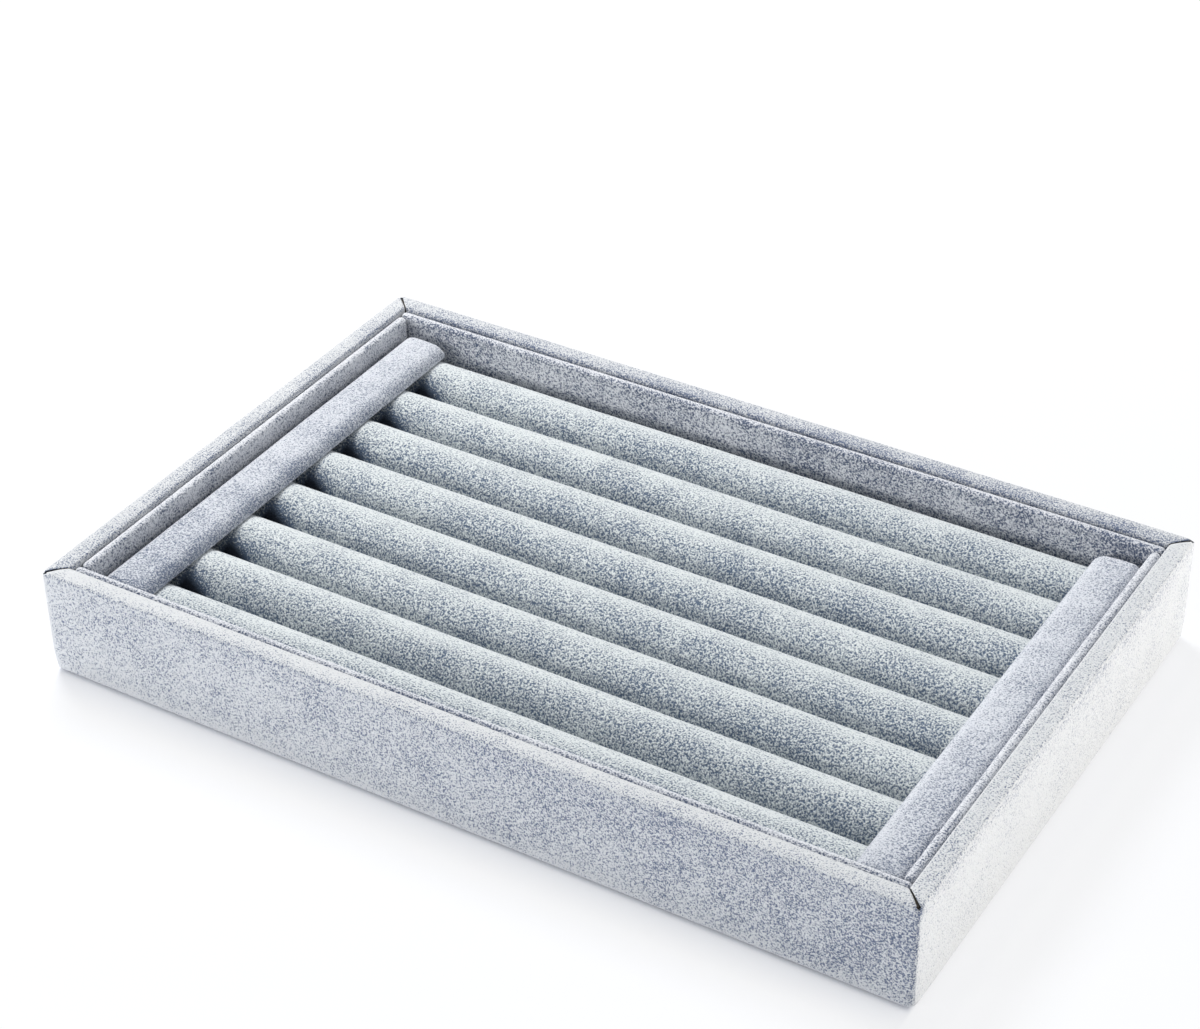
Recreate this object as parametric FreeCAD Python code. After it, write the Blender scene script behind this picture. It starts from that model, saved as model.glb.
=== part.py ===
"""Ring tray: a velvet-wrapped box, lined with four velvet strips, that holds a lift-out insert of foam rolls.

Frame: origin at the middle of the underside, X along the rolls, Y from front to back, Z up.
Every size is in millimetres.
"""
import FreeCAD, Part
import math
import os

Vector = FreeCAD.Vector
ORIGIN = Vector(0, 0, 0)
ALONG_X = Vector(1, 0, 0)
ALONG_Y = Vector(0, 1, 0)
ALONG_Z = Vector(0, 0, 1)

# Driving dimensions of the tray
tray_length = 230.0
tray_width = 150.0
tray_height = 29.0
velvet_thickness = 0.8          # cloth with its pile, the same on every covered piece
wall_board_thickness = 3.3
base_board_thickness = 3.0
board_edge_radius = 0.2         # sanded top edges of the wall boards, under the velvet
board_corner_radius = 0.3       # sanded upright corners of the box, under the velvet
inner_turn_in = 14.0            # how far the velvet reaches down behind the liners
mitre_slit_width = 0.35         # cut that lets the velvet fold over each corner of the rim
cover_thickness = 0.5           # sheet glued under the tray
cover_margin = 2.5
cover_corner_radius = 3.0

# Driving dimensions of the wall liners
liner_card_thickness = 1.2
liner_drop = 0.8                # top of a liner below the rim
liner_gap = 0.2                 # between a liner and the wall, and between liner ends

# Driving dimensions of the ring insert
insert_clearance = 0.8          # all round, so that the insert lifts out
insert_gap_right = 0.2          # left between the loose insert and the right liner
insert_gap_front = 0.5          # left between the loose insert and the front liner
insert_card_thickness = 1.2
roll_count = 8
roll_gap = 0.1                  # between neighbouring rolls
roll_squeeze = 0.8              # how far the outermost rolls are pressed flat beside the liners
roll_seat_depth = 0.4           # how far a roll is pressed flat on its card
roll_seam_width = 1.0           # between the two glued velvet edges under a roll

# Driving dimensions of the padded bars across the roll ends
bar_width = 12.3
bar_offset = 0.4                # from the end of the rolls to the outer edge of a bar
bar_end_gap = 1.3               # from the end of a bar to the edge of the insert
bar_card_thickness = 1.0
bar_pad_thickness = 1.2
bar_pad_radius = 1.0            # rounding of the foam pad's upper edges and corners
bar_card_radius = 0.2           # rounding of the card's lower edges
bar_crown = 0.25                # how much the padded top swells across its width
bar_press = 0.4                 # how far a bar sinks into the rolls
bar_seam_width = 3.0            # between the two glued velvet edges under a bar
bar_seam_margin = 6.0           # from the end of a bar to the end of that seam

# Heights, worked out from the underside up
base_top = cover_thickness + base_board_thickness
floor_top = base_top + velvet_thickness
insert_card_top = floor_top + insert_card_thickness
liner_top = tray_height - liner_drop

# Places across the tray, worked out from the outside in
wall_thickness = wall_board_thickness + 2 * velvet_thickness
liner_thickness = liner_card_thickness + 2 * velvet_thickness
cavity_length = tray_length - 2 * wall_thickness
cavity_width = tray_width - 2 * wall_thickness
base_length = cavity_length + 2 * velvet_thickness
base_width = cavity_width + 2 * velvet_thickness
clear_length = cavity_length - 2 * (liner_gap + liner_thickness)
clear_width = cavity_width - 2 * (liner_gap + liner_thickness)

# The rolls fill the width between the liners
insert_length = clear_length - 2 * insert_clearance
insert_width = clear_width - 2 * insert_clearance
roll_pitch = (insert_width + 2 * roll_squeeze) / roll_count
roll_radius = (roll_pitch - roll_gap) / 2
roll_axis_height = insert_card_top - roll_seat_depth + roll_radius
roll_crest = roll_axis_height + roll_radius

# The loose insert has settled towards the front right corner
insert_to_right = insert_clearance - insert_gap_right
insert_to_front = insert_clearance - insert_gap_front

# The bars lie across the ends of the rolls
bar_length = insert_width - 2 * bar_end_gap
bar_bottom = roll_crest - bar_press
bar_height = bar_card_thickness + bar_pad_thickness + 2 * velvet_thickness
bar_outer_edge = insert_length / 2 - bar_offset
bar_inner_edge = bar_outer_edge - bar_width
bar_middle = (bar_outer_edge + bar_inner_edge) / 2


def centred_box(length, width, bottom, top):
    """Box centred on the Z axis, between two heights."""
    corner = Vector(-length / 2, -width / 2, bottom)
    return Part.makeBox(length, width, top - bottom, corner)


def edges_along(shape, direction):
    """Every edge of the shape that runs along the given direction."""
    return [edge for edge in shape.Edges if abs(edge.tangentAt(edge.FirstParameter) * direction) > 0.99]


def round_upright_edges(box, radius):
    """The box with its four upright edges rounded."""
    return box.makeFillet(radius, edges_along(box, ALONG_Z))


def edges_at_height(shape, height):
    """Every edge of the shape that lies level at the given height."""
    limits = [(edge, edge.BoundBox) for edge in shape.Edges]
    return [edge for edge, box in limits if abs(box.ZMin - height) + abs(box.ZMax - height) < 0.001]


def wall_ring(inset):
    """All four walls as one ring, drawn the given depth under the finished velvet surface."""
    bottom = cover_thickness + inset
    top = tray_height - inset
    outside = centred_box(tray_length - 2 * inset, tray_width - 2 * inset, bottom, top)
    outside = round_upright_edges(outside, velvet_thickness + board_corner_radius - inset)
    if inset == 0:
        outside = outside.makeFillet(velvet_thickness, edges_at_height(outside, bottom))
    inside = centred_box(cavity_length + 2 * inset, cavity_width + 2 * inset, bottom, top)
    ring = outside.cut(inside)
    edge_radius = min(board_edge_radius, 0.45 * wall_board_thickness)
    return ring.makeFillet(velvet_thickness + edge_radius - inset, edges_at_height(ring, top))


def make_wall_boards():
    """Front and back boards run the whole length, and the side boards stand between them."""
    ring = wall_ring(velvet_thickness)
    between = centred_box(tray_length, base_width, 0, tray_height)
    front, back = sorted(ring.cut(between).Solids, key=lambda solid: solid.CenterOfMass.y)
    left, right = sorted(ring.common(between).Solids, key=lambda solid: solid.CenterOfMass.x)
    return {
        "front_wall_board": front,
        "back_wall_board": back,
        "left_wall_board": left,
        "right_wall_board": right,
    }


def mitre_slit(x_side, y_side):
    """Thin cutter along the diagonal of one corner of the rim, as deep as the rim is rounded."""
    depth = velvet_thickness + board_edge_radius
    cutter = Part.makeBox(2 * wall_thickness, mitre_slit_width, depth, Vector(0, -mitre_slit_width / 2, 0))
    cutter.rotate(ORIGIN, ALONG_Z, math.degrees(math.atan2(y_side, x_side)))
    cutter.translate(Vector(x_side * cavity_length / 2, y_side * cavity_width / 2, tray_height - depth))
    return cutter


def make_outer_velvet():
    """One band of velvet round all four walls, folded over the rim and under the walls."""
    band = wall_ring(0).cut(wall_ring(velvet_thickness))
    band = band.cut(centred_box(base_length, base_width, 0, tray_height - inner_turn_in))
    for x_side in (-1, 1):
        for y_side in (-1, 1):
            band = band.cut(mitre_slit(x_side, y_side))
    return band


def make_bottom_cover():
    """Thin sheet under the tray that hides where the velvet ends."""
    length = tray_length - 2 * cover_margin
    width = tray_width - 2 * cover_margin
    return round_upright_edges(centred_box(length, width, 0, cover_thickness), cover_corner_radius)


def upright_strip(length, thickness, top):
    """Strip along X that stands on the floor lining and has a half-round top edge."""
    radius = thickness / 2
    body = centred_box(length, thickness, floor_top, top - radius)
    top_edge = Part.makeCylinder(radius, length, Vector(-length / 2, 0, top - radius), ALONG_X)
    return body.fuse(top_edge).removeSplitter()


def make_liner(name, length, place, turn):
    """Card strip and the velvet hood over it, turned about Z and moved to its wall."""
    card = upright_strip(length - 2 * velvet_thickness, liner_card_thickness, liner_top - velvet_thickness)
    hood = upright_strip(length, liner_thickness, liner_top).cut(card)
    for piece in (card, hood):
        piece.rotate(ORIGIN, ALONG_Z, turn)
        piece.translate(place)
    return {f"{name}_liner_card": card, f"{name}_liner_velvet": hood}


def make_liners():
    """Front and back liners run the whole length, and the side liners stand between them."""
    long_length = cavity_length - 2 * liner_gap
    short_length = clear_width - 2 * liner_gap
    to_front = (clear_width + liner_thickness) / 2
    to_side = (clear_length + liner_thickness) / 2
    liners = {}
    liners.update(make_liner("front", long_length, Vector(0, -to_front, 0), 0))
    liners.update(make_liner("back", long_length, Vector(0, to_front, 0), 0))
    liners.update(make_liner("left", short_length, Vector(-to_side, 0, 0), 90))
    liners.update(make_liner("right", short_length, Vector(to_side, 0, 0), 90))
    return liners


def roll_form(place, inset):
    """Round roll, the given depth under its velvet, flat where card, liners and bars press on it."""
    start = Vector(-insert_length / 2, place, roll_axis_height)
    barrel = Part.makeCylinder(roll_radius - inset, insert_length, start, ALONG_X)
    room = centred_box(insert_length, insert_width - 2 * inset, insert_card_top + inset, tray_height)
    pressed_top = centred_box(2 * bar_inner_edge, insert_width, bar_bottom - inset, 2 * tray_height)
    under_bars = centred_box(insert_length, insert_width, 0, bar_bottom - inset)
    return barrel.common(room).common(under_bars.fuse(pressed_top))


def make_roll(number):
    """Foam core and velvet sleeve of one roll. Roll 1 lies at the back."""
    place = ((roll_count + 1) / 2 - number) * roll_pitch
    foam = roll_form(place, velvet_thickness)
    seam = centred_box(insert_length, roll_seam_width, insert_card_top, insert_card_top + velvet_thickness)
    seam.translate(Vector(0, place, 0))
    sleeve = roll_form(place, 0).cut(foam).cut(seam)
    return {f"roll_{number}_foam": foam, f"roll_{number}_velvet": sleeve}


def quarter_arc(start, corner, end):
    """Quarter circle from start to end, rounding off the corner between them."""
    centre = start + end - corner
    middle = centre + (corner - centre) * math.sqrt(0.5)
    return Part.Arc(start, middle, end)


def crowned_face(half_width, height, top_radius, foot_radius):
    """Upright face in the XZ plane: flat foot, rounded corners and a top that swells by the crown."""
    shoulder = height - bar_crown
    foot_end = Vector(half_width - foot_radius, 0, 0)
    side_start = Vector(half_width, 0, foot_radius)
    side_end = Vector(half_width, 0, shoulder - top_radius)
    top_start = Vector(half_width - top_radius, 0, shoulder)
    right_side = [
        quarter_arc(foot_end, Vector(half_width, 0, 0), side_start).toShape(),
        Part.LineSegment(side_start, side_end).toShape(),
        quarter_arc(side_end, Vector(half_width, 0, shoulder), top_start).toShape(),
    ]
    left_side = [edge.mirror(ORIGIN, ALONG_X) for edge in right_side]
    foot = Part.LineSegment(Vector(-foot_end.x, 0, 0), foot_end).toShape()
    top = Part.Arc(top_start, Vector(0, 0, height), Vector(-top_start.x, 0, shoulder)).toShape()
    return Part.Face(Part.Wire(Part.__sortEdges__([foot, *right_side, top, *left_side])))


def bar_form(inset):
    """Padded bar along Y, the given depth under its velvet: crowned across, rounded at its ends and in plan."""
    width = bar_width - 2 * inset
    length = bar_length - 2 * inset
    height = bar_height - 2 * inset
    top_radius = velvet_thickness + bar_pad_radius - inset
    foot_radius = velvet_thickness + bar_card_radius - inset
    face = crowned_face(width / 2, height, top_radius, foot_radius)
    face.translate(Vector(0, -length / 2, 0))
    crowned = face.extrude(length * ALONG_Y)
    block = centred_box(width, length, 0, height)
    end_edges = edges_along(block, ALONG_X)
    upper_ends = [edge for edge in end_edges if edge.CenterOfMass.z > height / 2]
    round_ended = block.makeFillet(top_radius, upper_ends)
    form = crowned.common(round_ended).common(round_upright_edges(block, top_radius))
    form.translate(Vector(0, 0, bar_bottom + inset))
    return form


def make_bar(name, side):
    """Card strip, foam pad and velvet sleeve of one padded bar."""
    core = bar_form(velvet_thickness)
    card_top = bar_bottom + velvet_thickness + bar_card_thickness
    card = core.common(centred_box(bar_width, bar_length, bar_bottom, card_top))
    pad = core.cut(card)
    seam_length = bar_length - 2 * bar_seam_margin
    seam = centred_box(bar_seam_width, seam_length, bar_bottom, bar_bottom + velvet_thickness)
    sleeve = bar_form(0).cut(core).cut(seam)
    bar = {f"{name}_bar_card": card, f"{name}_bar_pad": pad, f"{name}_bar_velvet": sleeve}
    for piece in bar.values():
        piece.translate(Vector(side * bar_middle, 0, 0))
    return bar


def make_insert():
    """Card, rolls and bars of the insert, moved to where the loose insert has settled in the tray."""
    pieces = {"insert_card": centred_box(insert_length, insert_width, floor_top, insert_card_top)}
    for number in range(1, roll_count + 1):
        pieces.update(make_roll(number))
    pieces.update(make_bar("left", -1))
    pieces.update(make_bar("right", 1))
    for piece in pieces.values():
        piece.translate(Vector(insert_to_right, -insert_to_front, 0))
    return pieces


def make_tray():
    """Every piece of the tray by name."""
    pieces = make_wall_boards()
    pieces["base_board"] = centred_box(base_length, base_width, cover_thickness, base_top)
    pieces["outer_velvet"] = make_outer_velvet()
    pieces["bottom_cover"] = make_bottom_cover()
    pieces["floor_lining"] = centred_box(base_length, base_width, base_top, floor_top)
    pieces.update(make_liners())
    pieces.update(make_insert())
    return pieces


def write_pieces(pieces):
    """One file for each piece, with its solids and volume printed."""
    os.makedirs("parts", exist_ok=True)
    for name, shape in pieces.items():
        shape.exportStep(f"parts/{name}.step")
        print(f"{name}: {len(shape.Solids)} solid, {shape.Volume / 1000:.2f} cm3, sound {shape.isValid()}")
    print(f"{len(pieces)} pieces, rolls {2 * roll_radius:.2f} thick at {roll_pitch:.2f}, crest {roll_crest:.2f}")


write_pieces(make_tray())
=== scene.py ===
# %% [markdown]
# # A velvet ring tray, dressed on its CAD frame
# The object is a shallow jeweller's tray. Fibreboard walls are wrapped in one band of short velvet,
# velvet-covered strips line them inside, and a lift-out insert carries foam rolls that grip rings between
# them. The CAD frame gives the sizes and places. This lesson replaces its plain cloth solids with modelled
# cloth, gives every piece a finish, and puts the tray under soft studio light.

# %% Load the frame
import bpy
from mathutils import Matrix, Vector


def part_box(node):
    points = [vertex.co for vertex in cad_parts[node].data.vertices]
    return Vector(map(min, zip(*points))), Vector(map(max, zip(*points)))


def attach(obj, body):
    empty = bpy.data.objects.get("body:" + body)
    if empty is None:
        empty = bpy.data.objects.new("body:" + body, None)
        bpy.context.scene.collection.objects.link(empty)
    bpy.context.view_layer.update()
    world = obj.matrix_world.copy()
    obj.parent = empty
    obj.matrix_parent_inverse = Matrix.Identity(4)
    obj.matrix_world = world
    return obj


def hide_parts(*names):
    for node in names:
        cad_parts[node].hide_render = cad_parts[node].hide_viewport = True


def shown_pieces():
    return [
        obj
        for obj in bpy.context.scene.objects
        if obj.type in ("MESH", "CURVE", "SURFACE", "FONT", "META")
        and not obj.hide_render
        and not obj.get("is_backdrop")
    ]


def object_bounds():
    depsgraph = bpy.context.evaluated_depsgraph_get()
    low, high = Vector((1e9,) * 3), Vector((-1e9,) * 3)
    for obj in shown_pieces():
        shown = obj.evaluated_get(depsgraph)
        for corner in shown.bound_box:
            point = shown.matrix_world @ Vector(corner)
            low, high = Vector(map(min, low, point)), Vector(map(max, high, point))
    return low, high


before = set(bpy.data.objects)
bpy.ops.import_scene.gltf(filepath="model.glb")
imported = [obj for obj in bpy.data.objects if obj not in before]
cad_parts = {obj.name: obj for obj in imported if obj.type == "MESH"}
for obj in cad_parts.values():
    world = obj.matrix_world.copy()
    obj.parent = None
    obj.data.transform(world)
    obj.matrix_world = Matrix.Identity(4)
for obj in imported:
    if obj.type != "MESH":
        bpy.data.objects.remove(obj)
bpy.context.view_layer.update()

# %% Modules and the working unit
import math

import bmesh
import bpy
from mathutils import Matrix, Vector, noise

MM = 0.001
UP = Vector((0, 0, 1))
scene = bpy.context.scene
print("sections below are written in millimetres and scaled by", MM)

# %% [markdown]
# ## Camera
# The photograph looks down on the tray from the front right. Its lens and place were worked out from the
# tray's corners, so the camera is set with plain numbers: a turn about the vertical, a tilt down and a
# slight roll.

# %% Camera
camera_place = Vector((283.1, -470.2, 420.4)) * MM
look_down = 34.669
camera_turn = math.radians(31.563)
camera_tilt = math.radians(90 - look_down)
camera_roll = math.radians(-0.702)
camera_data = bpy.data.cameras.new("photo_camera")
camera_data.lens = 85.157
camera_data.sensor_width = 36
camera_data.clip_start = 0.01
camera = bpy.data.objects.new("photo_camera", camera_data)
scene.collection.objects.link(camera)
turned = Matrix.Rotation(camera_turn, 4, "Z") @ Matrix.Rotation(camera_tilt, 4, "X")
camera.matrix_world = Matrix.Translation(camera_place) @ turned @ Matrix.Rotation(camera_roll, 4, "Z")
scene.camera = camera
print("camera lens", camera_data.lens, "mm")

# %% [markdown]
# ## Sizes read from the frame
# Cloth follows what it covers, so its sizes are read from the CAD nodes instead of being typed again.
# A small function gives a node's corners in millimetres. Only the depth to which the band is turned in
# behind the liners is typed, because no node's box shows it.

# %% Sizes read from the frame


def box_mm(node):
    low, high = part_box(node)
    return low / MM, high / MM


rim_low, rim_high = box_mm("outer_velvet")
board_low, board_high = box_mm("back_wall_board")
velvet = rim_high.z - board_high.z
wall = rim_high.y - board_low.y + velvet
turn_in = 14.0
turn_in_low = rim_high.z - turn_in
print("velvet", round(velvet, 2), "mm thick, wrapped wall", round(wall, 2), "mm")

# %% [markdown]
# ## Two mesh helpers
# Every cloth piece here is a loft: rows of points, one row for each place along the piece, joined by
# four-sided faces. The same helper serves an open strip, a closed tube and a tube with ends.

# %% Loft and piece helpers


def loft(rows, closed=False, ends=False):
    points = [point for row in rows for point in row]
    across = len(rows[0])
    faces = []
    for i in range(len(rows) - 1):
        for j in range(across if closed else across - 1):
            k = (j + 1) % across
            faces.append((i * across + j, i * across + k, (i + 1) * across + k, (i + 1) * across + j))
    if ends:
        faces.append(tuple(reversed(range(across))))
        faces.append(tuple(range(len(points) - across, len(points))))
    return points, faces


def add_piece(name, shape, body, node):
    mesh = bpy.data.meshes.new(name)
    mesh.from_pydata([Vector(point) * MM for point in shape[0]], [], shape[1])
    mesh.shade_smooth()
    piece = bpy.data.objects.new(name, mesh)
    scene.collection.objects.link(piece)
    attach(piece, body)
    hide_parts(node)
    return piece


print("helpers ready")

# %% [markdown]
# ## Cloth helpers
# Cloth pulled over card and foam is never perfectly flat: glue and hand pressure leave shallow waves.
# A smooth noise moves points by a tenth or two of a millimetre. A Solidify modifier then gives the cloth
# its thickness, a little less than in the frame, so that it stays clear of what it covers.
#
# The cell below also writes one number to each point for the velvet's colour: above zero it is painted
# light, which makes the velvet paler there, and below zero it is painted shade, which makes it darker.

# %% Cloth helpers
cloth_slack = 0.06
cloth_thickness = velvet - cloth_slack
wave_steps = (7.3, 3.1, 5.7)


def wave(point, size, seed):
    return noise.noise(Vector(point) / size + Vector([seed * step for step in wave_steps]))


def thicken(piece, thickness=cloth_thickness):
    solid = piece.modifiers.new("cloth thickness", "SOLIDIFY")
    solid.thickness = thickness * MM
    solid.offset = -1


def weld(piece, distance=0.01):
    shape = bmesh.new()
    shape.from_mesh(piece.data)
    bmesh.ops.remove_doubles(shape, verts=shape.verts, dist=distance * MM)
    shape.to_mesh(piece.data)
    shape.free()
    piece.data.shade_smooth()


def set_painted_lighting(piece, values):
    piece.data.attributes.new("nap", "FLOAT", "POINT").data.foreach_set("value", values)


print("cloth is", round(cloth_thickness, 2), "mm thick")

# %% Section helpers


def spread(start, end, count):
    return [start + (end - start) * k / count for k in range(count + 1)]


def arc(centre, radius, start, end, count):
    turns = [math.radians(angle) for angle in spread(start, end, count)]
    return [(centre[0] + radius * math.cos(t), centre[1] + radius * math.sin(t)) for t in turns]


def girth(section):
    return sum(math.dist(a, b) for a, b in zip(section, section[1:]))


print("a quarter circle of 2 mm in 8 steps is", round(girth(arc((0, 0), 2, 0, 90, 8)), 2), "mm long")

# %% [markdown]
# ## The outer band
# One strip of velvet goes round the whole box. It starts under the walls, climbs the outside, rolls over the
# rim and is glued down inside. At the rim each corner is slit on the mitre, or the cloth would bunch.
# The strip is built as four wall panels from one profile, then welded at the corners below the slits.
# A profile point is an inset from the outside of the wall and a height.

# %% Profile of the outer band
rim_radius = 0.6
rim_crown = 0.2
foot_radius = 0.8
fold_reach = 3.8
fold_gap = 0.3
band_thickness = 0.66
fold_steps = 3
foot_steps = 5
face_steps = 16
rim_steps = 8
crown_steps = 3
turn_in_steps = 6
top = rim_high.z
foot = rim_low.z

band_profile = [(inset, foot) for inset in spread(fold_reach, foot_radius + fold_gap, fold_steps)]
band_profile += arc((foot_radius, foot + foot_radius), foot_radius, 270, 180, foot_steps)
band_profile += [(0, z) for z in spread(foot + foot_radius, top - rim_radius, face_steps)][1:-1]
slit_start = len(band_profile)
band_profile += arc((rim_radius, top - rim_radius), rim_radius, 180, 90, rim_steps)
slit_full = len(band_profile) - rim_steps // 2
band_profile += [(inset, top) for inset in spread(rim_radius, wall - rim_radius, crown_steps)][1:-1]
band_profile += arc((wall - rim_radius, top - rim_radius), rim_radius, 90, 0, rim_steps)
band_profile += [(wall, z) for z in spread(top - rim_radius, turn_in_low, turn_in_steps)][1:]
for k in range(slit_start, len(band_profile)):
    inset, z = band_profile[k]
    if z >= top - rim_radius:
        from_middle = (inset - wall / 2) / (wall / 2)
        band_profile[k] = (inset, z - rim_crown * from_middle ** 2)

# %% [markdown]
# Near a corner the outside of the band is an arc and the inside is a sharp mitre. `corner_run` gives the
# points of one wall from a fixed margin up to the mitre line, spaced evenly along that bent path. Towards
# the foot the cloth is looser, so the corner is rounder there.

# %% Corner run of the band
corner_margin = 8.0
corner_radius = 1.0
foot_corner_radius = 2.4
foot_corner_height = 7.0


def corner_run(inset, z, count):
    low_share = max(1 - (z - foot) / foot_corner_height, 0)
    outer_radius = corner_radius + (foot_corner_radius - corner_radius) * low_share ** 2
    radius = max(outer_radius - inset, 0.0)
    straight = corner_margin - inset - radius
    length = straight + radius * math.pi / 4
    run = []
    for share in spread(0, 1, count):
        along = share * length
        if along <= straight or radius == 0:
            run.append((corner_margin - along, inset))
        else:
            turn = (along - straight) / radius
            centre = inset + radius
            run.append((centre - radius * math.sin(turn), centre - radius * math.cos(turn)))
    return run


print("corner run:", [tuple(round(v, 2) for v in point) for point in corner_run(0, top, 4)])

# %% [markdown]
# `slit_share` says how far the slit is open at a point of the profile: shut on the wall, open over the rim,
# narrower again inside. The next function gives the painted light and shade of the band. It blends from the
# inner to the outer edge of the rim, fades from just under the rim to the wall's lower part, and paints the
# foot a little paler.

# %% Slit and painted light of the band
slit_width = 1.05
slit_inner_share = 0.3
slit_opening = 0.7
slit_closing = 2.4
rim_painted_depth = 1.0
upper_fade = 5.5
foot_painted_light = 0.28
foot_fade = 5.0


def slit_share(k):
    if k <= slit_full:
        return max((k - slit_start) / (slit_full - slit_start), 0) ** slit_opening
    inward = (k - slit_full) / (len(band_profile) - 1 - slit_full)
    return max(1 - slit_closing * inward, slit_inner_share)


def band_painted_light(inset, z, rim_painted, face_painted):
    over_rim = min(max((z - top + rim_painted_depth) / rim_painted_depth, 0), 1)
    inward = inset / wall
    painted = over_rim * (rim_painted[0] * inward + rim_painted[1] * (1 - inward))
    on_outer_face = inward < 0.5
    if on_outer_face:
        upper = max(1 - (top - z) / upper_fade, 0)
        painted += (1 - over_rim) * (face_painted[0] * upper + face_painted[1] * (1 - upper))
        # painted light: the foot is made paler
        painted += foot_painted_light * max(1 - (z - foot) / foot_fade, 0)
    return painted


print("slits are", slit_width, "mm wide")

# %% One wall panel of the band
slit_dip = 0.3
slit_shade = 0.7
slit_shade_fall = 2.2
slit_sharpness = 6
corner_count = 9
panel_step = 1.4


def wall_panel(outward, reach, half, rim_painted, face_painted):
    along = outward.cross(UP)
    straight_count = round(half / panel_step)
    rows, nap = [], []
    places = [("start", k) for k in range(corner_count, 0, -1)]
    places += [("middle", u) for u in spread(-half + corner_margin, half - corner_margin, straight_count)]
    places += [("end", k) for k in range(1, corner_count + 1)]
    for kind, value in places:
        row = []
        for k, (inset, z) in enumerate(band_profile):
            u, depth = value, inset
            # painted light and shade of the band at this point
            painted = band_painted_light(inset, z, rim_painted, face_painted)
            if kind != "middle":
                from_corner, depth = corner_run(inset, z, corner_count)[value]
                near_slit = slit_share(k) * math.exp(-slit_shade_fall * (corner_count - value))
                flare = (value / corner_count) ** slit_sharpness
                from_corner += slit_share(k) * slit_width / 2 * math.sqrt(2) * flare
                z -= slit_dip * near_slit
                # painted shade along the slit
                painted -= slit_shade * near_slit
                u = (from_corner - half) * (1 if kind == "start" else -1)
            row.append(along * u + outward * (reach - depth) + UP * z)
            nap.append(painted)
        rows.append(row)
    return rows, nap


print("a panel has", corner_count, "rows in each corner")

# %% [markdown]
# Each wall has its own painted light and shade. The front and right rims are painted pale. The back and left
# rims are painted darker along their outer edge. The right wall is painted grey just under its rim and pale
# below.

# %% Weld the panels into one band
half_length = rim_high.x
half_width = rim_high.y
walls = {
    "front": (Vector((0, -1, 0)), half_width, half_length),
    "back": (Vector((0, 1, 0)), half_width, half_length),
    "left": (Vector((-1, 0, 0)), half_length, half_width),
    "right": (Vector((1, 0, 0)), half_length, half_width),
}
# painted light and shade at the inner and at the outer edge of each rim
rim_painted_lighting = {
    "front": (0.4, 0.36),
    "back": (0.02, -0.55),
    "left": (0.2, -0.34),
    "right": (0.2, 0.58),
}
# painted light and shade of each outer face just under the rim, and lower down
face_painted_lighting = {
    "front": (0.0, 0.0),
    "back": (0.18, 0.18),
    "left": (0.12, 0.12),
    "right": (-0.6, 0.0),
}
band_points, band_faces, band_painted_lighting = [], [], []
for name, (outward, reach, half) in walls.items():
    rows, nap = wall_panel(outward, reach, half, rim_painted_lighting[name], face_painted_lighting[name])
    panel_points, panel_faces = loft(rows)
    band_painted_lighting += nap
    band_faces += [tuple(v + len(band_points) for v in face) for face in panel_faces]
    band_points += panel_points
band = add_piece("outer_velvet_band", (band_points, band_faces), "tray", "outer_velvet")
set_painted_lighting(band, band_painted_lighting)
weld(band)
thicken(band, band_thickness)
band.modifiers["cloth thickness"].material_offset_rim = 1

# %% [markdown]
# ## The liner strips
# Inside each wall stands a strip of card wrapped in the same velvet, a little lower than the rim. The cloth
# goes over the top like a hood and is rounded at its ends, so a small dark hole is left where two strips
# meet. Each hood is a loft along the wall whose section shrinks at the ends.

# %% Rounded ends and the section of a hood
end_angles = [90, 70, 50, 32, 16, 0]
hood_front_steps = 10
hood_top_steps = 12
hood_back_steps = 6


def end_insets(radius):
    turns = [math.radians(angle) for angle in end_angles]
    return [(radius * (1 - math.sin(turn)), radius * (1 - math.cos(turn))) for turn in turns]


def hood_section(half, low, high, inset):
    side = half - inset
    shoulder = high - inset - side
    section = [(side, z) for z in spread(low, shoulder, hood_front_steps)][:-1]
    section += arc((0, shoulder), side, 0, 180, hood_top_steps)
    section += [(-side, z) for z in spread(shoulder, low, hood_back_steps)][1:]
    return section


print("an end is rounded in", len(end_angles) - 1, "steps")

# %% Rows of a hood
hood_end_share = 0.85
hood_step = 3.0
hood_wave = 0.12
hood_wave_size = 26


def liner_hood(name, facing):
    low, high = box_mm(name + "_liner_velvet")
    middle = (low + high) / 2
    along = facing.cross(UP)
    size = high - low
    length = abs(along.dot(size))
    half = abs(facing.dot(size)) / 2
    end_radius = half * hood_end_share
    ends = end_insets(end_radius)
    stations = [(-length / 2 + out, inset) for out, inset in ends]
    inner_end = length / 2 - end_radius
    stations += [(u, 0) for u in spread(-inner_end, inner_end, round(length / hood_step))][1:-1]
    stations += [(length / 2 - out, inset) for out, inset in reversed(ends)]
    rows = []
    for u, inset in stations:
        row = []
        for across, z in hood_section(half, low.z, high.z, inset):
            point = Vector((middle.x, middle.y, 0)) + along * u + facing * across + UP * z
            on_front = 1 if across > 0 else 0
            point += facing * hood_wave * wave(point, hood_wave_size, half) * on_front
            row.append(point)
        rows.append(row)
    return rows, length


print("hoods wave by up to", hood_wave, "mm")

# %% [markdown]
# On the left hood the top is painted pale, and a painted shade darkens it a few millimetres further down.

# %% Liner hoods
left_hood_painted_lighting = (0.2, -0.2)
left_hood_fade = 4.0
# a row well away from the rounded ends
girth_row = 30
for name in walls:
    outward = walls[name][0]
    rows, length = liner_hood(name, -outward)
    hood = add_piece(name + "_liner_hood", loft(rows), "tray", name + "_liner_velvet")
    if name == "left":
        # painted light on the hood's top, painted shade lower down
        hood_top = max(point.z for row in rows for point in row)
        downs = [min((hood_top - point.z) / left_hood_fade, 1) for row in rows for point in row]
        set_painted_lighting(hood, [left_hood_painted_lighting[0] * (1 - down) + left_hood_painted_lighting[1] * down for down in downs])
    thicken(hood)

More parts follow.
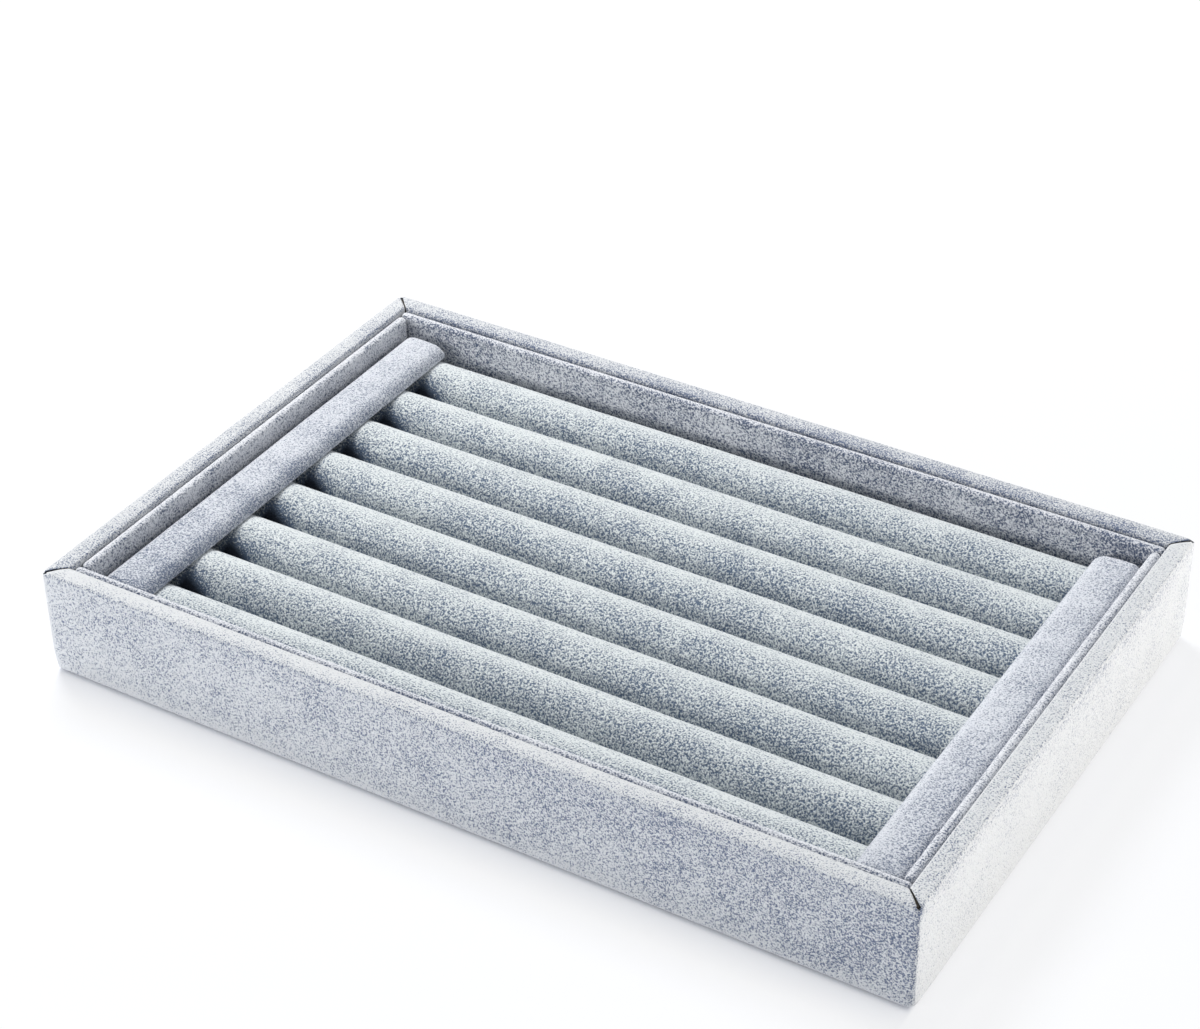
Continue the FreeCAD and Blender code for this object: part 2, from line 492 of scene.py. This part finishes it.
# %% [markdown]
# ## The foam rolls
# Eight foam rods are wrapped in velvet sleeves and glued side by side on a card. Each one is flat where it
# is glued, the outer two are pressed flat at the card's edges, beside the liners, and all are pressed down
# under the bars at their ends. A section is a circle whose points are held back by those three limits.
# A soft limit keeps the fold round.

# %% Roll section
left_bar_edge = box_mm("left_bar_velvet")[1].x
right_bar_edge = box_mm("right_bar_velvet")[0].x
bar_foot = box_mm("right_bar_velvet")[0].z
card_low, card_high = box_mm("insert_card")
roll_low, roll_high = box_mm("roll_4_velvet")
roll_pitch = roll_low.y - box_mm("roll_5_velvet")[0].y
roll_radius = (roll_high.y - roll_low.y) / 2
roll_axis = roll_high.z - roll_radius
roll_headroom = 0.3
open_ceiling = roll_high.z + roll_headroom
press_reach = 2.0
roll_slack = 0.1
roll_wave = 0.16
roll_wave_size = 22
roll_wave_seed = 1.7
roll_wave_turn = 6
roll_wave_calm = 0.4


def soft_limit(value, limit, softness=0.25):
    gap = max(softness - abs(value - limit), 0) / softness
    return min(value, limit) - gap * gap * softness / 4


def roll_section(x, middle, radius, count, seam, shrink=0.0):
    under_bar = max(left_bar_edge - x, x - right_bar_edge)
    pressed = min(max((under_bar + press_reach) / press_reach, 0), 1)
    ceiling = open_ceiling - pressed * pressed * (open_ceiling - bar_foot) - shrink
    section = []
    for angle in spread(seam, 360 - seam, count):
        turn = math.radians(angle)
        bump = roll_wave * wave((x, middle, angle / roll_wave_turn), roll_wave_size, roll_wave_seed)
        away = radius - roll_slack + bump * (1 - abs(math.cos(turn)) * roll_wave_calm)
        y = middle + away * math.sin(turn)
        z = roll_axis - away * math.cos(turn)
        z = soft_limit(z, ceiling)
        z = -soft_limit(-z, -(card_high.z + shrink))
        y = soft_limit(y, card_high.y - shrink)
        y = -soft_limit(-y, -(card_low.y + shrink))
        section.append(Vector((x, y, z)))
    return section


print("rolls", round(2 * roll_radius, 2), "mm across, every", round(roll_pitch, 2), "mm")

# %% [markdown]
# Beside the left bar the grooves between the rolls lie in the bar's shadow and look nearly black. That
# shadow is painted into the rolls' colour here. It is strongest at the bar's edge and deep in the groove,
# and it leaves the outer sides of the first and last roll alone.

# %% Painted shadow in the grooves beside the left bar
roll_count = 8
insert_middle = (card_low.y + card_high.y) / 2
outer_axis = (roll_count - 1) / 2 * roll_pitch
shade_reach = 9.0
shade_under_bar = 3.0
shade_depth = 5.0
shade_depth_start = 0.8
shade_strength = 2.4


def painted_groove_shadow(point):
    from_edge = point.x - left_bar_edge
    near = max(1 - abs(from_edge) / (shade_reach if from_edge > 0 else shade_under_bar), 0)
    deep = min(max((roll_high.z - shade_depth_start - point.z) / shade_depth, 0), 1)
    in_groove = abs(point.y - insert_middle) < outer_axis
    return -shade_strength * near * deep if in_groove else 0.0


print("grooves are shaded over", shade_reach, "mm")

# %% Velvet sleeves and foam cores of the rolls
sleeve_round_steps = 64
sleeve_length_steps = 120
seam_angle = 4.0
core_round_steps = 40
core_length_steps = 40
core_end_gap = 0.5
core_end_length = 2.5
core_end_radius = 1.2
core_radius = roll_radius - velvet
core_ends = end_insets(core_end_radius)
core_stations = [(card_low.x + core_end_gap + out, inset) for out, inset in core_ends]
core_run = spread(card_low.x + core_end_length, card_high.x - core_end_length, core_length_steps)
core_stations += [(x, 0) for x in core_run]
core_stations += [(card_high.x - core_end_gap - out, inset) for out, inset in reversed(core_ends)]
for number in range(1, roll_count + 1):
    middle = insert_middle + ((roll_count + 1) / 2 - number) * roll_pitch
    stations = spread(card_low.x, card_high.x, sleeve_length_steps)
    rows = [roll_section(x, middle, roll_radius, sleeve_round_steps, seam_angle) for x in stations]
    sleeve = add_piece(
        f"roll_{number}_sleeve", loft(rows), "ring_insert", f"roll_{number}_velvet"
    )
    # painted shadow of the left bar in the grooves
    set_painted_lighting(sleeve, [painted_groove_shadow(point) for row in rows for point in row])
    thicken(sleeve)
    core_rows = [
        roll_section(x, middle, core_radius - inset, core_round_steps, seam=0, shrink=velvet + inset)[:-1]
        for x, inset in core_stations
    ]
    core_shape = loft(core_rows, closed=True, ends=True)
    core = add_piece(f"roll_{number}_core", core_shape, "ring_insert", f"roll_{number}_foam")

# %% [markdown]
# ## The end bars
# A padded bar lies across the roll ends on each side and holds them down. Under its velvet are a card and a
# thin pad, so its top is crowned and its edges are soft. The crest lies a little towards the wall, and the
# edge over the rolls is the softer one. The ends shrink to a rounded nose.

# %% Bar section
# radii of the edge at the wall, the edge over the rolls, and the foot
sleeve_radii = (2.2, 3.0, 0.7)
pad_radii = (1.0, 1.0, 0.2)
bar_crown = 0.7
crown_shift = 2.0
end_drop = 0.9
end_lift = 0.35
edge_shrink = 0.3
foot_shrink = 0.25
bar_under_steps = 3
bar_foot_steps = 4
bar_edge_steps = 8
bar_top_steps = 8


def bar_section(low, high, inset, radii):
    half = (high.x - low.x) / 2 - inset
    top_z = high.z - inset * end_drop
    bottom_z = low.z + inset * end_lift
    wall_side, roll_side, foot_r = radii
    foot_r -= inset * foot_shrink
    left_r, right_r = (wall_side, roll_side) if low.x < 0 else (roll_side, wall_side)
    left_r -= inset * edge_shrink
    right_r -= inset * edge_shrink
    section = [(x, bottom_z) for x in spread(0, -half + foot_r, bar_under_steps)][:-1]
    section += arc((-half + foot_r, bottom_z + foot_r), foot_r, 270, 180, bar_foot_steps)
    section += arc((-half + left_r, top_z - left_r), left_r, 180, 90, bar_edge_steps)
    section += [(x, top_z) for x in spread(-half + left_r, half - right_r, bar_top_steps)][1:-1]
    section += arc((half - right_r, top_z - right_r), right_r, 90, 0, bar_edge_steps)
    section += arc((half - foot_r, bottom_z + foot_r), foot_r, 0, -90, bar_foot_steps)
    section += [(x, bottom_z) for x in spread(half - foot_r, 0, bar_under_steps)][1:-1]
    to_rolls = 1 if low.x < 0 else -1
    crowned = []
    for x, z in section:
        share = (z - bottom_z) / (top_z - bottom_z)
        from_crest = (x * to_rolls + crown_shift) / (half + crown_shift)
        crowned.append((x, z - bar_crown * share * from_crest ** 2))
    return crowned


print("bars are crowned by", bar_crown, "mm")

# %% Rows of a bar
bar_length_steps = 60
bar_slack = 0.1
bar_wave = 0.12
bar_wave_size = 24
bar_wave_seed = 1.3


def bar_rows(low, high, radii, end_radius):
    middle = (low.x + high.x) / 2
    seed = math.copysign(bar_wave_seed, low.x)
    ends = end_insets(end_radius)
    stations = [(low.y + out, inset) for out, inset in ends]
    straight = spread(low.y + end_radius, high.y - end_radius, bar_length_steps)
    stations += [(y, 0) for y in straight][1:-1]
    stations += [(high.y - out, inset) for out, inset in reversed(ends)]
    rows = []
    for y, inset in stations:
        row = []
        for x, z in bar_section(low, high, inset, radii):
            point = Vector((middle + x, y, z))
            lift = (z - low.z) / (high.z - low.z)
            point.z += lift * (bar_wave * wave(point, bar_wave_size, seed) - bar_slack)
            row.append(point)
        rows.append(row)
    return rows


print("bar tops wave by up to", bar_wave, "mm")

# %% Sleeves and cushions of the bars
sleeve_end_radius = 2.2
pad_end_radius = 0.5
bar_cloth = 0.5
# cloth folded in at both ends together
# painted light and shade at the front and at the back end of each bar
bar_painted_lighting = {"left": (-0.12, 0.12), "right": (0.1, 0.06)}
for side in ("left", "right"):
    low, high = box_mm(side + "_bar_velvet")
    rows = bar_rows(low, high, sleeve_radii, sleeve_end_radius)
    sleeve_shape = loft(rows, closed=True, ends=True)
    sleeve = add_piece(side + "_bar_sleeve", sleeve_shape, "ring_insert", side + "_bar_velvet")
    shares = [(point.y - low.y) / (high.y - low.y) for row in rows for point in row]
    front_painted, back_painted = bar_painted_lighting[side]
    set_painted_lighting(sleeve, [front_painted + (back_painted - front_painted) * share for share in shares])
    thicken(sleeve, bar_cloth)
    around = rows[girth_row] + rows[girth_row][:1]
    pad_low, pad_high = box_mm(side + "_bar_pad")
    pad_rows = bar_rows(pad_low, pad_high, pad_radii, pad_end_radius)
    pad_shape = loft(pad_rows, closed=True, ends=True)
    pad = add_piece(side + "_bar_cushion", pad_shape, "ring_insert", side + "_bar_pad")

# %% [markdown]
# ## Sheets that lie flat
# A velvet lining covers the tray's floor under the insert, and a flocked paper closes the underside.
# Both are thin sheets with rounded corners and hardly any relief, built as a grid and thickened downwards.

# %% Floor lining and bottom cover
sheet_steps = (90, 60)
sheet_wave_size = 30


def flat_sheet(name, node, corner, ripple):
    low, high = box_mm(node)
    rows = []
    for u in spread(-1, 1, sheet_steps[0]):
        row = []
        for v in spread(1, -1, sheet_steps[1]):
            x = u * high.x
            y = v * high.y
            over_x = abs(x) - (high.x - corner)
            over_y = abs(y) - (high.y - corner)
            if over_x > 0 and over_y > 0:
                reach = max(over_x, over_y) / math.hypot(over_x, over_y)
                x = math.copysign(high.x - corner + over_x * reach, x)
                y = math.copysign(high.y - corner + over_y * reach, y)
            z = high.z - ripple + ripple * wave((x, y, 0), sheet_wave_size, corner)
            row.append(Vector((x, y, z)))
        rows.append(row)
    sheet = add_piece(name, loft(rows), "tray", node)
    thicken(sheet, high.z - low.z - 2 * ripple)


flat_sheet("floor_lining_velvet", "floor_lining", corner=0.6, ripple=0.05)
flat_sheet("bottom_cover_paper", "bottom_cover", corner=3.0, ripple=0.02)

# %% [markdown]
# ## Colours and nodes
# Colours are written as sRGB hex values, as a paint chart would give them, and turned to the linear values
# that Blender calculates with. One function adds any node, sets its values and links its sockets. Three more
# use it for the nodes that come back most: a calculation, a change of range and a mix of two colours.

# %% Colour and node helpers


def linear(hex_colour):
    channels = [int(hex_colour[k:k + 2], 16) / 255 for k in (1, 3, 5)]
    return [c / 12.92 if c <= 0.04045 else ((c + 0.055) / 1.055) ** 2.4 for c in channels] + [1.0]


def add_node(tree, kind, values=None, links=None):
    node = tree.nodes.new(kind)
    for name, value in (values or {}).items():
        if isinstance(name, int) or name in node.inputs:
            node.inputs[name].default_value = value
        else:
            setattr(node, name, value)
    for name, socket in (links or {}).items():
        tree.links.new(socket, node.inputs[name])
    return node


def new_material(name):
    material = bpy.data.materials.new(name)
    material.use_nodes = True
    material.node_tree.nodes.clear()
    return material, material.node_tree


print("grey velvet in linear light:", [round(v, 3) for v in linear("#bfc5cc")])

# %% Calculation, range and mix helpers


def calculate(tree, operation, first, second, clamp=False):
    node = add_node(tree, "ShaderNodeMath", {"operation": operation, "use_clamp": clamp}, {0: first})
    if isinstance(second, float):
        node.inputs[1].default_value = second
    else:
        tree.links.new(second, node.inputs[1])
    return node.outputs[0]


def remap(tree, value, source, target=(0.0, 1.0), **settings):
    ranges = {"From Min": source[0], "From Max": source[1], "To Min": target[0], "To Max": target[1]}
    return add_node(tree, "ShaderNodeMapRange", {**settings, **ranges}, {"Value": value}).outputs["Result"]


def mix_colours(tree, share, first, second):
    node = add_node(tree, "ShaderNodeMix", {"data_type": "RGBA", 7: linear(second)}, {0: share})
    if isinstance(first, str):
        node.inputs[6].default_value = linear(first)
    else:
        tree.links.new(first, node.inputs[6])
    return node.outputs[2]


print("node helpers ready")

# %% [markdown]
# ## Velvet
# The cloth is a short cut-pile velvet: a woven ground with thousands of fibre ends standing up from it.
# Velvet looks paler where it turns away from the eye, and here that sheen is painted into the colour: Layer
# Weight tells how far the surface turns away, and the colour is made pale and smooth there and dark and
# speckled where it faces the eye. With the lamps, this painted sheen gives every roll a white top and a dark
# front. A hand that brushed the pile leaves soft patches. A fine noise draws the tips, a slow one the
# patches.
# A drift along an axis paints shade low in the grooves and low on the bars, and paints light a little
# towards the front of the walls.
#
# The painted light and shade of each point is added to the shade. Where it is far below zero the colour is
# mixed towards a near-black: a painted deep shade.

# %% Shade of the pile, with painted sheen, light and shade
brushed_mm = 12.0
brushed_swirl = 0.4
brushed_range = (0.3, 0.7)


def soft_noise(tree, place, size_mm, swirl=0.0):
    return add_node(
        tree, "ShaderNodeTexNoise",
        {"Scale": 1 / (size_mm * MM), "Detail": 1.0, "Roughness": 0.5, "Distortion": swirl},
        {"Vector": place},
    ).outputs["Fac"]


def pile_and_painted_light(tree, place, grain, nap, softness, patch, turned, painted_sheen, painted_drifts):
    tips = remap(tree, grain, (0.5 - softness, 0.5 + softness), clamp=False)
    brushed = soft_noise(tree, place, brushed_mm, brushed_swirl)
    lean = remap(tree, brushed, brushed_range, (-patch, patch))
    facing = add_node(tree, "ShaderNodeLayerWeight", {"Blend": 0.5}).outputs["Facing"]
    # painted sheen: paler and smoother where the surface turns from the eye, darker where it faces it
    across = remap(tree, facing, turned, painted_sheen, interpolation_type="SMOOTHSTEP")
    shade = calculate(tree, "ADD", calculate(tree, "ADD", tips, lean), nap)
    for axis, (start, end), change in painted_drifts:
        reached = add_node(tree, "ShaderNodeSeparateXYZ", links={"Vector": place}).outputs[axis]
        painted_drift = remap(tree, reached, (start * MM, end * MM), change)
        shade = calculate(tree, "ADD", shade, painted_drift)
    return calculate(tree, "ADD", shade, across, clamp=True)


print("brushed patches are about", brushed_mm, "mm wide")

# %% Velvet material
pile_depth = 0.4
# colour of the painted deep shade
painted_shade_colour = "#20242d"
painted_shade_range = (-0.5, -1.3)
painted_shade_most = 0.9


def velvet_material(name, pale, dark, grain_mm, softness, patch, turned, painted_sheen, painted_drifts=()):
    material, tree = new_material(name)
    place = add_node(tree, "ShaderNodeTexCoord").outputs["Object"]
    nap = add_node(tree, "ShaderNodeAttribute", {"attribute_name": "nap"}).outputs["Fac"]
    grain = soft_noise(tree, place, grain_mm)
    shade = pile_and_painted_light(tree, place, grain, nap, softness, patch, turned, painted_sheen, painted_drifts)
    colour = mix_colours(tree, shade, dark, pale)
    # painted deep shade: far below zero the colour goes towards near-black
    painted_shade_share = remap(tree, nap, painted_shade_range, (0.0, painted_shade_most))
    colour = mix_colours(tree, painted_shade_share, colour, painted_shade_colour)
    bump = add_node(
        tree, "ShaderNodeBump", {"Strength": 1.0, "Distance": pile_depth * MM}, {"Height": grain},
    ).outputs["Normal"]
    skin = add_node(
        tree, "ShaderNodeBsdfPrincipled",
        {
            "Roughness": 0.95, "IOR": 1.5, "Specular IOR Level": 0.15,
            "Sheen Weight": 0.2, "Sheen Roughness": 0.4, "Sheen Tint": linear("#f4f6fa"),
        },
        {"Base Color": colour, "Normal": bump},
    ).outputs["BSDF"]
    add_node(tree, "ShaderNodeOutputMaterial", links={"Surface": skin})
    return material


print("pile is", pile_depth, "mm deep")

# %% [markdown]
# Rolls, walls, liners and bars each have their own velvet, with its own grain, painted sheen and painted
# light and shade. The real tips are about a quarter of a millimetre apart, too fine for the render, so the
# grain is drawn at 0.38 to 0.46 mm. This noise fades on the planes of its own grid. The grain sizes are
# chosen so that flat walls fall between them.

# %% The four velvets
bar_low, bar_high = box_mm("left_bar_velvet")
groove_depth = 7.5
crest_depth = 1.0
bar_edge_depth = 0.5
roll_velvet = velvet_material(
    "cut_pile_velvet_rolls", "#e3e7e6", "#5f6e82", grain_mm=0.46, softness=0.135, patch=0.12,
    turned=(0.0, 0.8), painted_sheen=(-0.05, 0.58),
    # painted shade low in the grooves between the rolls
    painted_drifts=[("Z", (roll_high.z - groove_depth, roll_high.z - crest_depth), (-0.05, 0.0))],
)
wall_velvet = velvet_material(
    "cut_pile_velvet_walls", "#e2e3e3", "#6a758d", grain_mm=0.38, softness=0.12, patch=0.15,
    turned=(0.27, 0.6), painted_sheen=(-0.12, 0.75),
    # painted light, a little paler towards the front of the walls
    painted_drifts=[("Y", (-half_width, half_width), (0.15, 0.02))],
)
liner_velvet = velvet_material(
    "cut_pile_velvet_liners", "#e8e9ec", "#5b667c", grain_mm=0.44, softness=0.14, patch=0.16,
    turned=(0.1, 0.5), painted_sheen=(-0.1, 0.45),
)
bar_velvet = velvet_material(
    "cut_pile_velvet_bars", "#e1e3e8", "#727c8f", grain_mm=0.4, softness=0.15, patch=0.16,
    turned=(0.2, 0.6), painted_sheen=(-0.07, 0.42),
    # painted shade low on the sides of the bars
    painted_drifts=[("Z", (bar_low.z, bar_high.z - bar_edge_depth), (-0.3, 0.0))],
)
print("velvets:", roll_velvet.name, wall_velvet.name, liner_velvet.name, bar_velvet.name)

# %% [markdown]
# ## Hidden materials
# Boards, cards, foam and paper show in the slits, at the roll ends when the insert is lifted, and
# underneath. The walls are dark pressed fibre, greyboard is recycled paper, the foam is open-cell
# polyurethane, and the cover is paper with a fine flocked face. The woven ground of the velvet is dark too:
# it shows as the cut edge of the band, so the corner slits read as dark lines.

# %% Board, card, foam and paper materials
fibre_range = (0.3, 0.7)


def fibre_material(name, pale, dark, fibre_mm, depth, roughness, stretch=(1, 1, 1)):
    material, tree = new_material(name)
    place = add_node(tree, "ShaderNodeTexCoord").outputs["Object"]
    laid = add_node(tree, "ShaderNodeMapping", {"Scale": stretch}, {"Vector": place}).outputs["Vector"]
    fibres = add_node(
        tree, "ShaderNodeTexNoise",
        {"Scale": 1 / (fibre_mm * MM), "Detail": 4.0, "Roughness": 0.65}, {"Vector": laid},
    ).outputs["Fac"]
    colour = mix_colours(tree, remap(tree, fibres, fibre_range), dark, pale)
    bump = add_node(
        tree, "ShaderNodeBump", {"Strength": 0.6, "Distance": depth * MM}, {"Height": fibres},
    ).outputs["Normal"]
    skin = add_node(
        tree, "ShaderNodeBsdfPrincipled",
        {"Roughness": roughness, "IOR": 1.5, "Specular IOR Level": 0.25},
        {"Base Color": colour, "Normal": bump},
    ).outputs["BSDF"]
    add_node(tree, "ShaderNodeOutputMaterial", links={"Surface": skin})
    return material


fibreboard = fibre_material(
    "medium_density_fibreboard", "#4b463f", "#332e2a", fibre_mm=0.9, depth=0.1, roughness=0.85,
    stretch=(1, 1, 2),
)
greyboard = fibre_material(
    "recycled_greyboard", "#9b9a95", "#77766f", fibre_mm=1.2, depth=0.06, roughness=0.9,
)
flock_paper = fibre_material(
    "flocked_paper", "#7d838c", "#5f656f", fibre_mm=0.5, depth=0.15, roughness=0.95,
)
seat_foam = fibre_material(
    "open_cell_polyurethane_foam", "#ece6d6", "#c9c0aa", fibre_mm=0.8, depth=0.4, roughness=0.9,
)
ground_cloth = fibre_material(
    "velvet_ground_cloth", "#3a3d44", "#23252a", fibre_mm=0.4, depth=0.1, roughness=0.95,
)
print("hidden finishes:", fibreboard.name, greyboard.name, flock_paper.name, seat_foam.name)

# %% Give every piece its finish
finishes = {
    "velvet_band": wall_velvet, "_hood": liner_velvet, "_lining_velvet": wall_velvet,
    "bar_sleeve": bar_velvet, "_sleeve": roll_velvet, "_core": seat_foam, "_cushion": seat_foam,
    "cover_paper": flock_paper, "_board": fibreboard, "_card": greyboard,
}
finished = 0
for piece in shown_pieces():
    for ending, material in finishes.items():
        if ending in piece.name:
            piece.data.materials.clear()
            piece.data.materials.append(material)
            finished += 1
            break
    else:
        print("no finish for", piece.name)
band.data.materials.append(ground_cloth)
print(finished, "pieces have a finish, and the band's cut edge shows", ground_cloth.name)

# %% [markdown]
# ## Stage and light
# A white table under a soft lamp from the back left, as in a small product studio. A low lamp at the back
# right whitens the right wall, and two weak cards, right and front, lift the shaded sides. The floor is a
# plain pale plane. To the camera it glows white where the table is open. Ambient occlusion is low where the
# tray stands close, so there the glow fades and the contact shadow shows. To the right of the tray a painted
# light makes the table bright up to the foot. The world gives an even fill and shows white to the camera.

# %% Floor
floor_half = 4.0
floor_drop = 0.0003
floor_mesh = bpy.data.meshes.new("studio_floor")
floor_shape = bmesh.new()
bmesh.ops.create_grid(floor_shape, x_segments=8, y_segments=8, size=floor_half)
floor_shape.to_mesh(floor_mesh)
floor_shape.free()
floor = bpy.data.objects.new("studio_floor", floor_mesh)
floor.location.z = -floor_drop
scene.collection.objects.link(floor)
floor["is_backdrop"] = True
print("floor is", 2 * floor_half, "m wide")

# %% Table paper
glow_share = 0.82
# reach of each ambient occlusion in metres, and the power that shapes it
contacts = [(0.0015, 0.7), (0.010, 0.8)]
painted_foot_light_share = 0.95
# a painted light makes the table bright between these two distances inside the right foot, in millimetres
painted_foot_light_from = 2.0
painted_foot_light_to = 0.5


def seen_directly(tree):
    rays = add_node(tree, "ShaderNodeLightPath").outputs
    seen = rays["Is Camera Ray"]
    for kind in ("Is Glossy Ray", "Is Transmission Ray"):
        seen = calculate(tree, "MAXIMUM", seen, rays[kind])
    return seen


floor_paint, tree = new_material("white_table_paper")
paper = add_node(
    tree, "ShaderNodeBsdfPrincipled",
    {"Base Color": linear("#f1f4fc"), "Roughness": 0.9, "Specular IOR Level": 0.1},
).outputs["BSDF"]
glow = add_node(tree, "ShaderNodeEmission", {"Color": linear("#ffffff"), "Strength": 1.0}).outputs[0]
glow_mask = 1.0
for reach, power in contacts:
    around = add_node(tree, "ShaderNodeAmbientOcclusion", {"samples": 8, "Distance": reach}).outputs["AO"]
    glow_mask = calculate(tree, "MULTIPLY", calculate(tree, "POWER", around, power), glow_mask)
place = add_node(tree, "ShaderNodeTexCoord").outputs["Object"]
rightward = add_node(tree, "ShaderNodeSeparateXYZ", links={"Vector": place}).outputs["X"]
painted_light_edges = ((half_length - painted_foot_light_from) * MM, (half_length - painted_foot_light_to) * MM)
# painted light: the table right of the tray glows up to the foot
painted_foot_light = remap(tree, rightward, painted_light_edges, (0.0, painted_foot_light_share))
glow_mask = calculate(tree, "MAXIMUM", glow_mask, painted_foot_light)
share = calculate(tree, "MULTIPLY", seen_directly(tree), glow_share)
share = calculate(tree, "MULTIPLY", share, glow_mask)
skin = add_node(tree, "ShaderNodeMixShader", links={0: share, 1: paper, 2: glow}).outputs[0]
add_node(tree, "ShaderNodeOutputMaterial", links={"Surface": skin})
floor_mesh.materials.append(floor_paint)
print("the open table glows with a share of", glow_share)

# %% World
world = bpy.data.worlds.new("studio_fill")
scene.world = world
world.use_nodes = True
tree = world.node_tree
tree.nodes.clear()
fill = add_node(tree, "ShaderNodeBackground", {"Color": linear("#f2f7ff"), "Strength": 0.41}).outputs[0]
shown = add_node(tree, "ShaderNodeBackground", {"Color": linear("#ffffff"), "Strength": 1.0}).outputs[0]
both = add_node(tree, "ShaderNodeMixShader", links={0: seen_directly(tree), 1: fill, 2: shown}).outputs[0]
add_node(tree, "ShaderNodeOutputWorld", links={"Surface": both})
print("even fill ready")

# %% Lamps
tray_middle = (0, 0, 0.015)


def soft_lamp(name, place, aim, size, power, colour="#ffffff"):
    lamp = bpy.data.lights.new(name, "AREA")
    lamp.shape = "DISK"
    lamp.size = size
    lamp.energy = power
    lamp.color = linear(colour)[:3]
    holder = bpy.data.objects.new(name, lamp)
    holder.location = place
    holder.rotation_mode = "QUATERNION"
    holder.rotation_quaternion = (Vector(aim) - Vector(place)).to_track_quat("-Z", "Y")
    scene.collection.objects.link(holder)


soft_lamp("overhead_softbox", (-0.52, 0.36, 0.9), (0, 0, 0), size=0.42, power=10.0)
soft_lamp("low_right_lamp", (1.0, 0.4, 0.02), tray_middle, size=0.03, power=6.7, colour="#fff9ef")
soft_lamp("right_card", (1.4, 0.2, 0.95), tray_middle, size=0.7, power=3.0)
soft_lamp("front_card", (-0.4, -0.78, 0.2), tray_middle, size=0.25, power=2.7)
print("four lamps are ready")

# %% [markdown]
# ## Colour management and the size note
# The Standard view keeps colours as they were written. The last cell prints the dressed box in millimetres.

# %% View and size note
scene.view_settings.view_transform = "Standard"
dressed_low, dressed_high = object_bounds()
dressed_box = [round(1000 * (high - low), 2) for low, high in zip(dressed_low, dressed_high)]
print("dressed box in mm:", dressed_box)
